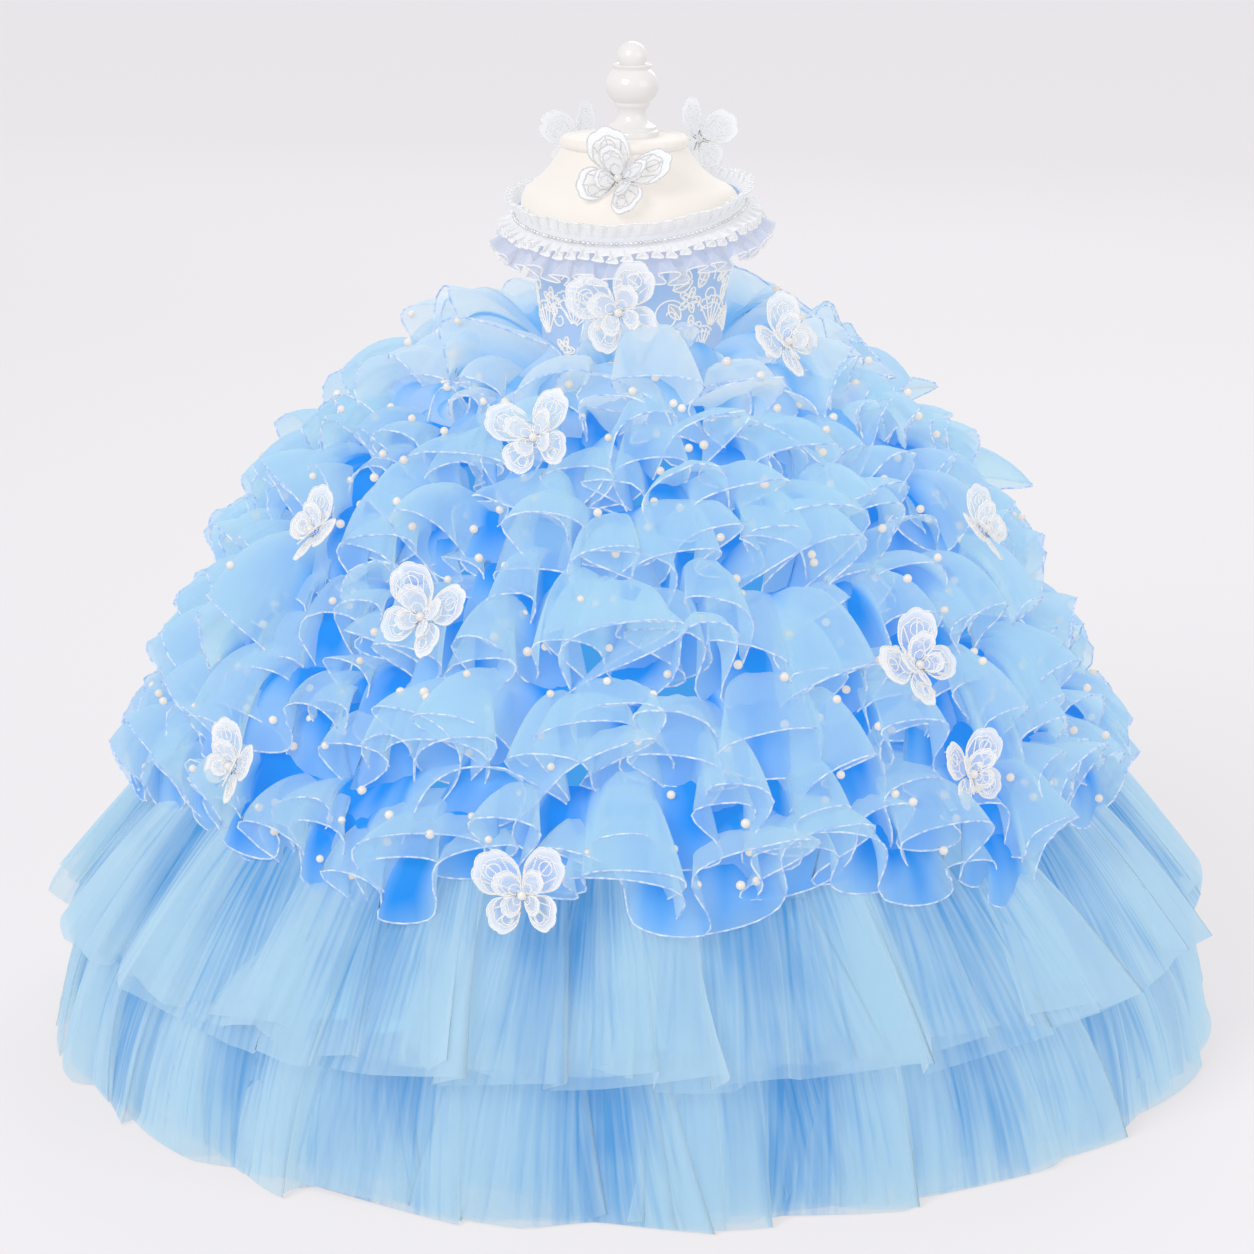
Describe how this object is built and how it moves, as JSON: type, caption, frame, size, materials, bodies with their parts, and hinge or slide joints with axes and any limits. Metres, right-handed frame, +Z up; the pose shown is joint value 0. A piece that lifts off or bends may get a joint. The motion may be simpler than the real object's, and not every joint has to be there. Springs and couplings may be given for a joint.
{
  "type": "dog dress on a dress form",
  "caption": "Ball-gown dog dress with a lace-trimmed bodice, gathered ruffles, pleated net tiers and lace butterflies, on a limbless dress form with a round foot.",
  "frame": {"origin": "centre of the underside of the stand's round foot, on the floor", "axes": "+Z up along the stand's post; the dress's front faces -Y"},
  "size_m": [0.7167, 0.7127, 0.6019],
  "materials": {
    "satin": "pale blue satin with a soft sheen",
    "organza": "sheer sky blue organza with a corded edge",
    "tulle": "soft pale blue net",
    "lining": "plain blue lining",
    "white_organza": "sheer white organza with a corded edge",
    "lace": "white machine lace with a silver grey cord",
    "form_cloth": "brushed off-white cloth over padding",
    "white_gloss": "white gloss lacquer",
    "steel": "white powder coat"
  },
  "bodies": {
    "root": {"form_bust": "form_cloth", "form_finial": "white_gloss", "stand_post": "steel", "stand_foot": "steel", "bodice_front": "satin", "bodice_back": "satin", "frill_standing_lace": "lace", "frill_short_lace": "lace", "frill_organza": "white_organza", "underskirt": "lining", "ruffle_1": "organza", "ruffle_2": "organza", "ruffle_3": "organza", "ruffle_4": "organza", "ruffle_5": "organza", "ruffle_6": "organza", "tulle_upper": "tulle", "tulle_lower": "tulle", "butterfly_chest": "lace", "butterfly_bodice": "lace", "butterfly_back_left": "lace", "butterfly_back_right": "lace", "butterfly_skirt_1": "lace", "butterfly_skirt_2": "lace", "butterfly_skirt_3": "lace", "butterfly_skirt_4": "lace", "butterfly_skirt_5": "lace", "butterfly_skirt_6": "lace", "butterfly_skirt_7": "lace", "butterfly_skirt_8": "lace", "butterfly_skirt_9": "lace"}
  },
  "joints": []
}
